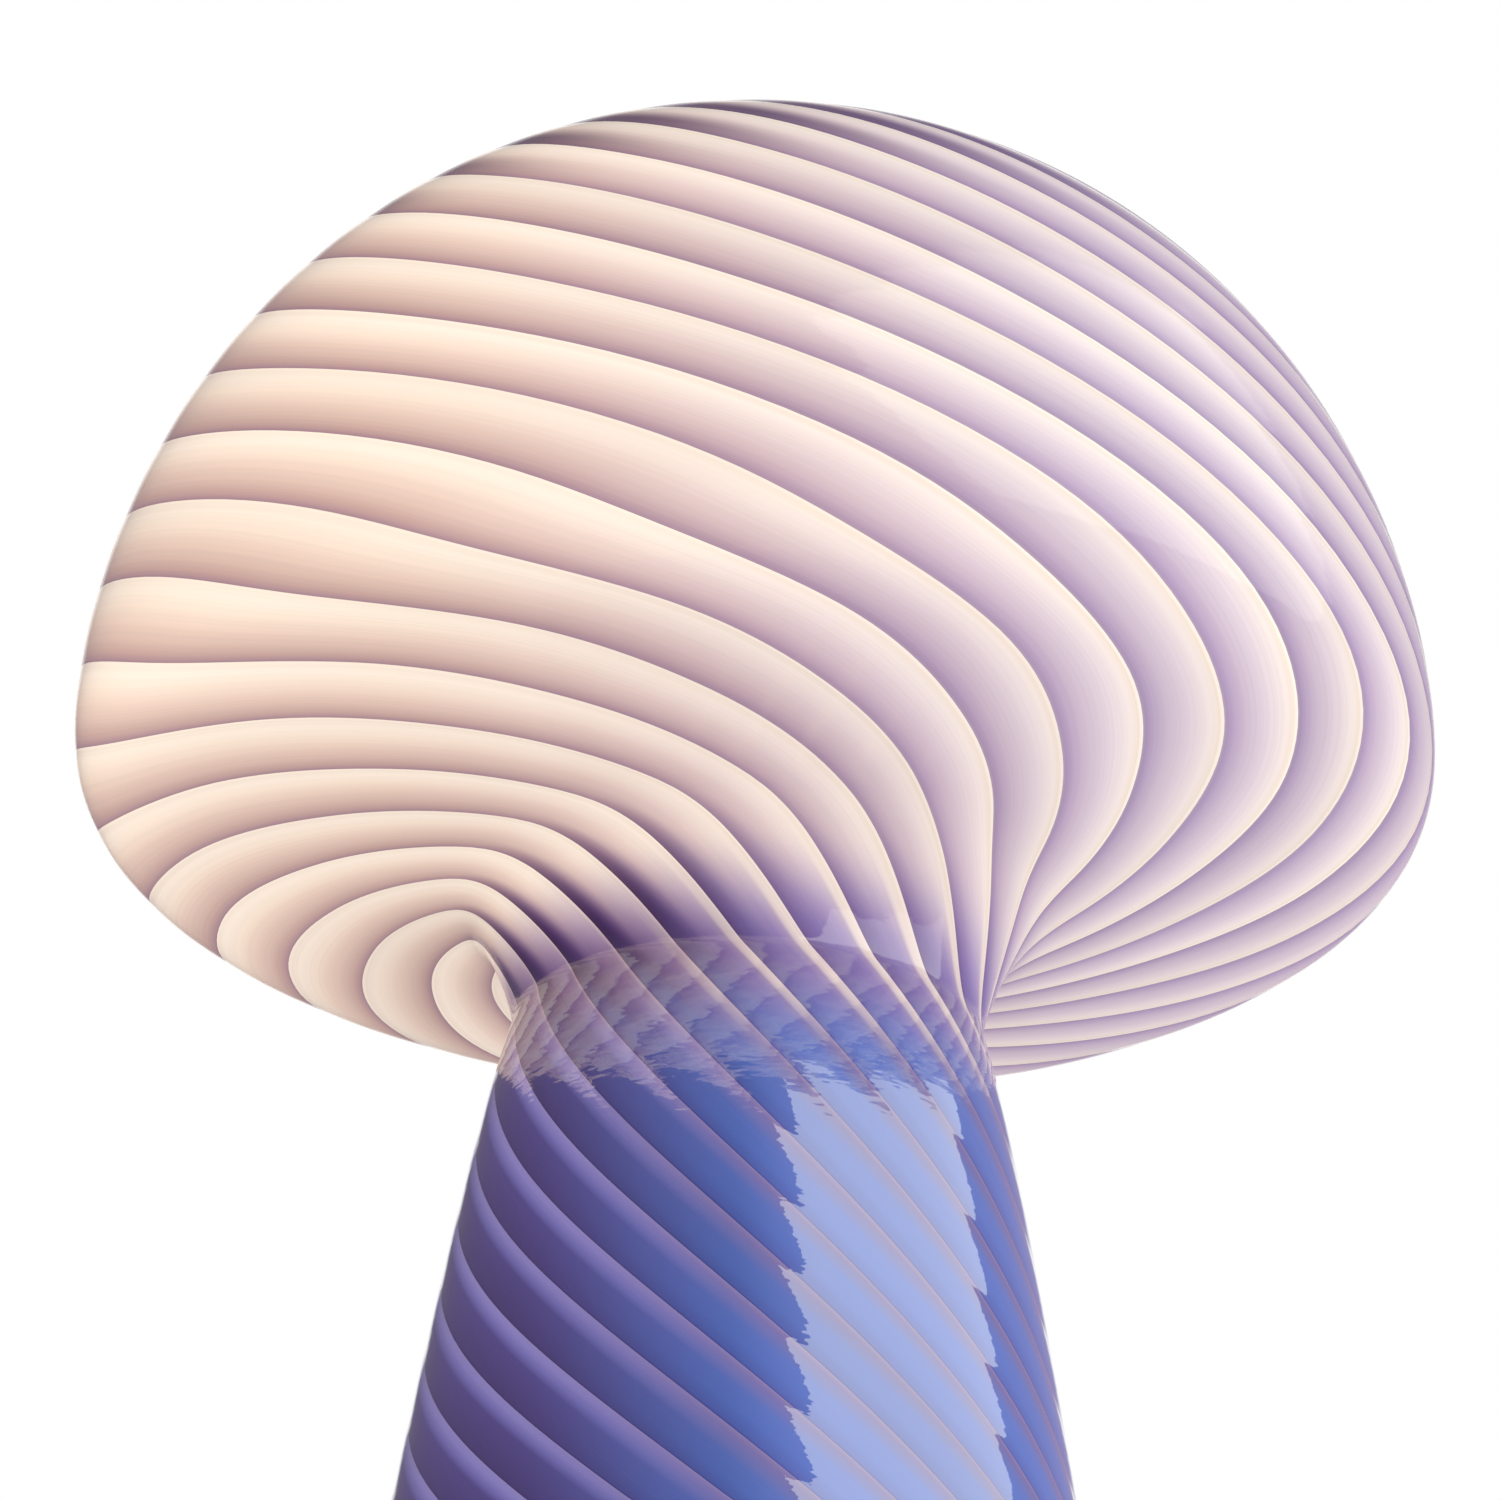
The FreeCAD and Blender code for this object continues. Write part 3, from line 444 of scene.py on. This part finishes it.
def swirlMaterial():
    s = swirl
    material, tree, shader = newMaterial("swirlGlass", **s["surface"])
    rib = addNode(tree, "Attribute", attribute_name="rib").outputs["Fac"]
    down = addNode(tree, "Attribute", attribute_name="down").outputs["Fac"]
    place = addNode(tree, "TexCoord").outputs["Object"]
    sideways = addNode(tree, "SeparateXYZ", {0: place}).outputs["X"]
    across = calc(tree, "FRACT", rib)
    ribNumber = calc(tree, "FLOOR", rib)
    # the soft part of each band wanders a little to and fro, and its edges stay
    drift = addNode(tree, "CombineXYZ", {"X": calc(tree, "MULTIPLY", ribNumber, s["wanderStep"]),
                                         "Y": calc(tree, "MULTIPLY", down, s["wanderLength"])})
    drift = noise(tree, drift.outputs[0], detail=1.0)
    inner = calc(tree, "MULTIPLY", across, calc(tree, "SUBTRACT", 1.0, across))
    drift = calc(tree, "MULTIPLY", calc(tree, "SUBTRACT", drift, 0.5), inner)
    soft = calc(tree, "MULTIPLY_ADD", drift, s["wander"], across)
    color = swirlColor(tree, soft, down, sideways)
    # fine streaks drawn out along the bands, and no two bands quite the same
    along = addNode(tree, "CombineXYZ", {"X": calc(tree, "MULTIPLY", rib, s["streaks"]),
                                         "Y": calc(tree, "MULTIPLY", down, s["streakLength"])})
    streak = noise(tree, along.outputs[0], detail=3.0)
    own = addNode(tree, "TexWhiteNoise", {"W": ribNumber}, noise_dimensions="1D").outputs["Value"]
    darkest = 1 - s["streakDepth"] / 2 - s["ownDepth"] / 2
    level = calc(tree, "MULTIPLY_ADD", streak, s["streakDepth"], darkest)
    level = calc(tree, "MULTIPLY_ADD", own, s["ownDepth"], level)
    gray = addNode(tree, "CombineColor", {0: level, 1: level, 2: level}).outputs[0]
    color = blendColors(tree, 1.0, color, gray, "MULTIPLY")
    tree.links.new(color, shader.inputs["Base Color"])
    # glossy on the stem, much less so on the cap and hardly at the crown
    onCap = fade(tree, down, *s["capCoatDown"])
    onStem = fade(tree, down, *s["stemCoatDown"])
    coat = calc(tree, "MULTIPLY_ADD", onCap, s["capCoat"] - s["crownCoat"], s["crownCoat"])
    coat = calc(tree, "MULTIPLY_ADD", onStem, s["stemCoat"] - s["capCoat"], coat)
    tree.links.new(coat, shader.inputs["Coat Weight"])
    # faint ripples of blown glass, which fray the edges of reflections
    spot = addNode(tree, "VectorMath", {0: place, 1: s["rippleSpread"]}, operation="MULTIPLY").outputs[0]
    ripple = noise(tree, spot, detail=2.0)
    bump = addNode(tree, "Bump", {"Height": ripple, "Distance": s["rippleDepth"], "Strength": 1.0})
    tree.links.new(bump.outputs[0], shader.inputs["Coat Normal"])
    return material


glassShell = buildGlassShell()
dress(glassShell, swirlMaterial())
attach(glassShell, "glass")
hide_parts("glass_body")
print("glass shell:", len(glassShell.data.polygons), "faces")


finishes = {
    # two colours that drift into each other, how fine and how drawn out, the least and most roughness,
    # the bump's depth in metres, and where there is any: metal, coat and clearness
    "silicone": {"colors": ((224, 224, 219), (218, 219, 213)), "grain": 260, "rough": (0.38, 0.5),
                 "bump": 0.00001},
    "base_paint": {"colors": ((231, 228, 221), (228, 225, 217)), "grain": 2400, "rough": (0.36, 0.44),
                   "bump": 0.000015, "coat": 0.15},
    "dark_rubber": {"colors": ((44, 44, 46), (31, 31, 33)), "grain": 700, "rough": (0.62, 0.82),
                    "bump": 0.00004},
    "zinc_steel": {"colors": ((196, 200, 204), (170, 172, 166)), "grain": 240, "rough": (0.24, 0.44),
                   "bump": 0.00001, "metal": 1.0, "stretch": (1, 1, 6)},
    "satin_nickel": {"colors": ((212, 207, 198), (202, 197, 188)), "grain": 60, "rough": (0.3, 0.36),
                     "bump": 0.000002, "metal": 1.0, "stretch": (1, 1, 90)},
    "holder_plastic": {"colors": ((235, 231, 222), (226, 221, 210)), "grain": 90, "rough": (0.32, 0.46),
                       "bump": 0.00002},
    "ceramic": {"colors": ((241, 239, 233), (231, 228, 220)), "grain": 200, "rough": (0.1, 0.2),
                "bump": 0.00003, "coat": 0.8},
    "brass": {"colors": ((222, 186, 104), (186, 146, 78)), "grain": 180, "rough": (0.2, 0.42),
              "bump": 0.00001, "metal": 1.0, "stretch": (1, 1, 4)},
    "solder": {"colors": ((182, 182, 184), (142, 142, 146)), "grain": 500, "rough": (0.28, 0.5),
               "bump": 0.00006, "metal": 1.0},
    "black_glass": {"colors": ((18, 17, 20), (28, 25, 32)), "grain": 300, "rough": (0.05, 0.14),
                    "bump": 0.00002, "coat": 1.0},
    "bulb_nickel": {"colors": ((212, 208, 201), (188, 183, 174)), "grain": 140, "rough": (0.14, 0.32),
                    "bump": 0.00001, "metal": 1.0, "stretch": (1, 1, 3)},
    "bulb_glass": {"colors": ((252, 253, 252), (246, 249, 248)), "grain": 40, "rough": (0.0, 0.02),
                   "bump": 0.00002, "clear": 1.0},
    "filament": {"colors": ((244, 205, 92), (226, 176, 60)), "grain": 2600, "rough": (0.5, 0.75),
                 "bump": 0.00005},
}
finishMix = {
    # how fine and broad noise go into colour and roughness, for every finish above
    "coarser": 8, "grainPart": 0.4, "broadPart": 0.6, "colorFade": (0.35, 0.65), "roughFade": (0.3, 0.7),
    "coatRoughness": 0.12,
}


def finish(slot):
    f = finishes[slot]
    m = finishMix
    material, tree, shader = newMaterial(
        slot, Metallic=f.get("metal", 0.0), Coat_Weight=f.get("coat", 0.0),
        Transmission_Weight=f.get("clear", 0.0), Coat_Roughness=m["coatRoughness"])
    place = addNode(tree, "TexCoord").outputs["Object"]
    stretch = f.get("stretch", (1, 1, 1))
    place = addNode(tree, "VectorMath", {0: place, 1: stretch}, operation="MULTIPLY").outputs[0]
    grain = noise(tree, place, detail=3.0, scale=f["grain"])
    broad = noise(tree, place, detail=2.0, scale=f["grain"] / m["coarser"])
    both = calc(tree, "MULTIPLY_ADD", grain, m["grainPart"], calc(tree, "MULTIPLY", broad, m["broadPart"]))
    share = fade(tree, both, *m["colorFade"])
    color = blendColors(tree, share, paint(*f["colors"][0]), paint(*f["colors"][1]))
    tree.links.new(color, shader.inputs["Base Color"])
    low, high = f["rough"]
    rough = calc(tree, "MULTIPLY_ADD", fade(tree, broad, *m["roughFade"]), high - low, low)
    tree.links.new(rough, shader.inputs["Roughness"])
    bump = addNode(tree, "Bump", {"Height": grain, "Distance": f["bump"], "Strength": 1.0})
    tree.links.new(bump.outputs[0], shader.inputs["Normal"])
    return material


finished = {slot: finish(slot) for slot in finishes}
for part in frame["record"]["subparts"]:
    if part["node"] != "glass_body":
        dress(nodes[part["node"]], finished[part["material_slot"]])
print("finishes:", len(finished))


aim = Vector((0, 0, 0.186))      # what the lamps and the camera point at


def direction(azimuth, elevation):
    # azimuth from the front towards the right
    a, e = math.radians(azimuth), math.radians(elevation)
    return Vector((math.sin(a) * math.cos(e), -math.cos(a) * math.cos(e), math.sin(e)))


table = {"color": (240, 240, 240), "radius": 3.0, "fade": (0.6, 2.2), "rings": 24, "columns": 96,
         "crowding": 1.5}


def buildFloor():
    # pale table top: it catches a shadow from above, and nothing of it shows from below
    rings, columns = table["rings"], table["columns"]
    points = [(0, 0, 0)]
    faces = []
    for i in range(rings):
        r = table["radius"] * ((i + 1) / rings) ** table["crowding"]
        for k in range(columns):
            a = 2 * math.pi * k / columns
            points.append((r * math.cos(a), r * math.sin(a), 0))
    for k in range(columns):
        after = (k + 1) % columns
        faces.append((0, 1 + k, 1 + after))
        for i in range(rings - 1):
            a, b = 1 + i * columns, 1 + (i + 1) * columns
            faces.append((a + k, b + k, b + after, a + after))
    mesh = bpy.data.meshes.new("floor")
    mesh.from_pydata(points, [], faces)
    floor = bpy.data.objects.new("floor", mesh)
    scene.collection.objects.link(floor)
    material, tree = bareMaterial("floor")
    diffuse = addNode(tree, "BsdfDiffuse", {"Color": paint(*table["color"])})
    white = addNode(tree, "Emission", {"Color": (1, 1, 1, 1), "Strength": 1.0})
    clear = addNode(tree, "BsdfTransparent")
    place = addNode(tree, "NewGeometry")
    rays = addNode(tree, "LightPath")
    away = addNode(tree, "VectorMath", {0: place.outputs["Position"]}, operation="LENGTH")
    far = fade(tree, away.outputs["Value"], *table["fade"])
    seen = calc(tree, "MULTIPLY", far, rays.outputs["Is Camera Ray"])
    top = addNode(tree, "MixShader", {0: seen, 1: diffuse.outputs[0], 2: white.outputs[0]})
    hidden = calc(tree, "MAXIMUM", rays.outputs["Is Shadow Ray"], rays.outputs["Is Diffuse Ray"])
    hidden = calc(tree, "MAXIMUM", hidden, rays.outputs["Is Glossy Ray"])
    through = calc(tree, "MAXIMUM", place.outputs["Backfacing"], hidden)
    both = addNode(tree, "MixShader", {0: through, 1: top.outputs[0], 2: clear.outputs[0]})
    addNode(tree, "OutputMaterial", {"Surface": both.outputs[0]})
    dress(floor, material)


room = {
    # even light for matt surfaces, and what glossy ones see: the room, its lit right and the table's glow
    "above": (0.83, 0.82, 0.83), "below": (1.2, 1.16, 1.14), "evenRise": (-0.5, 0.3),
    "dim": (0.17, 0.15, 0.19), "lit": (0.42, 0.33, 0.49), "litSide": (-0.1, 0.35),
    "paleTable": (0.5, 0.48, 0.49), "tableRise": (-0.6, 0.1),
    "windowLift": 26.3, "windowEdge": (0.956, 0.985),
}


def buildWorld():
    # white to the camera; in reflections a room that is dim at the left and lit at the right, over a
    # pale table, with one white window far behind
    world = bpy.data.worlds.new("studio")
    world.use_nodes = True
    scene.world = world
    tree = world.node_tree
    tree.nodes.clear()
    rays = addNode(tree, "LightPath")
    way = addNode(tree, "TexCoord").outputs["Generated"]
    split = addNode(tree, "SeparateXYZ", {0: way})
    rise = split.outputs["Z"]
    white = (1, 1, 1, 1)
    window = addNode(tree, "VectorMath", {0: way, 1: -direction(0, -room["windowLift"])},
                     operation="DOT_PRODUCT").outputs["Value"]
    window = fade(tree, window, *room["windowEdge"])
    lit = fade(tree, split.outputs["X"], *room["litSide"])
    glossy = blendColors(tree, lit, room["dim"] + (1,), room["lit"] + (1,))
    glossy = blendColors(tree, fade(tree, rise, *room["tableRise"]), room["paleTable"] + (1,), glossy)
    glossy = blendColors(tree, window, glossy, white)
    upper = fade(tree, rise, *room["evenRise"])
    even = blendColors(tree, upper, room["below"] + (1,), room["above"] + (1,))
    seen = blendColors(tree, rays.outputs["Is Glossy Ray"], even, glossy)
    clear = calc(tree, "MAXIMUM", rays.outputs["Is Camera Ray"], rays.outputs["Is Transmission Ray"])
    seen = blendColors(tree, clear, seen, white)
    sky = addNode(tree, "Background", {"Color": seen, "Strength": 1.0})
    addNode(tree, "OutputWorld", {"Surface": sky.outputs[0]})


lights = {
    # metres and degrees; light is the radiance for matt surfaces, look the one that reflections show
    "softbox": {"size": (1.68, 1.75), "distance": 1.2, "azimuth": 65.0, "elevation": 31.0,
                "light": 0.41, "color": (0.86, 0.91, 1.0), "look": (1.76, 1.7, 1.63)},
    "warm": {"size": (1.2, 1.2), "distance": 1.3, "azimuth": -65.0, "elevation": 30.0,
             "light": 0.9, "color": (1.0, 0.9, 0.78)},
}


def faceLamp(thing, light):
    away = direction(light["azimuth"], light["elevation"])
    thing.location = aim + away * light["distance"]
    thing.rotation_mode = "QUATERNION"
    thing.rotation_quaternion = away.to_track_quat("Z", "Y")
    scene.collection.objects.link(thing)


def buildLamp(name):
    light = lights[name]
    width, height = light["size"]
    lamp = bpy.data.lights.new(name, "AREA")
    lamp.shape = "RECTANGLE"
    lamp.size = width
    lamp.size_y = height
    lamp.energy = light["light"] * math.pi * width * height
    lamp.color = light["color"]
    box = bpy.data.objects.new(name, lamp)
    box.visible_camera = False
    box.visible_glossy = False
    faceLamp(box, light)


def buildPanel():
    # what the softbox looks like in reflections, and nowhere else
    light = lights["softbox"]
    width, height = light["size"]
    corners = [(x * width / 2, y * height / 2, 0) for x, y in ((-1, -1), (1, -1), (1, 1), (-1, 1))]
    mesh = bpy.data.meshes.new("panel")
    mesh.from_pydata(corners, [], [(0, 1, 2, 3)])
    panel = bpy.data.objects.new("panel", mesh)
    material, tree = bareMaterial("panel")
    glow = addNode(tree, "Emission", {"Color": light["look"] + (1,), "Strength": 1.0})
    addNode(tree, "OutputMaterial", {"Surface": glow.outputs[0]})
    dress(panel, material)
    for kind in ("camera", "diffuse", "transmission", "volume_scatter", "shadow"):
        setattr(panel, "visible_" + kind, False)
    faceLamp(panel, light)


camera = {"azimuth": 0.0, "elevation": -26.3, "distance": 1.2, "lens": 162.5, "sensor": 36, "roll": 1.47,
          "shiftX": -0.0029, "shiftY": 0.0084}


def buildCamera():
    # low in front of the lamp, looking up under its cap
    away = direction(camera["azimuth"], camera["elevation"])
    lens = bpy.data.cameras.new("camera")
    lens.lens = camera["lens"]
    lens.sensor_width = camera["sensor"]
    lens.shift_x = camera["shiftX"]
    lens.shift_y = camera["shiftY"]
    eye = bpy.data.objects.new("camera", lens)
    eye.location = aim + away * camera["distance"]
    level = away.to_track_quat("Z", "Y").to_matrix()
    turn = level @ Matrix.Rotation(math.radians(camera["roll"]), 3, "Z")
    eye.rotation_mode = "QUATERNION"
    eye.rotation_quaternion = turn.to_quaternion()
    scene.collection.objects.link(eye)
    scene.camera = eye


buildFloor()
buildWorld()
buildLamp("softbox")
buildLamp("warm")
buildPanel()
buildCamera()
scene.view_settings.view_transform = "Standard"
print("stage, lamps and camera are set")
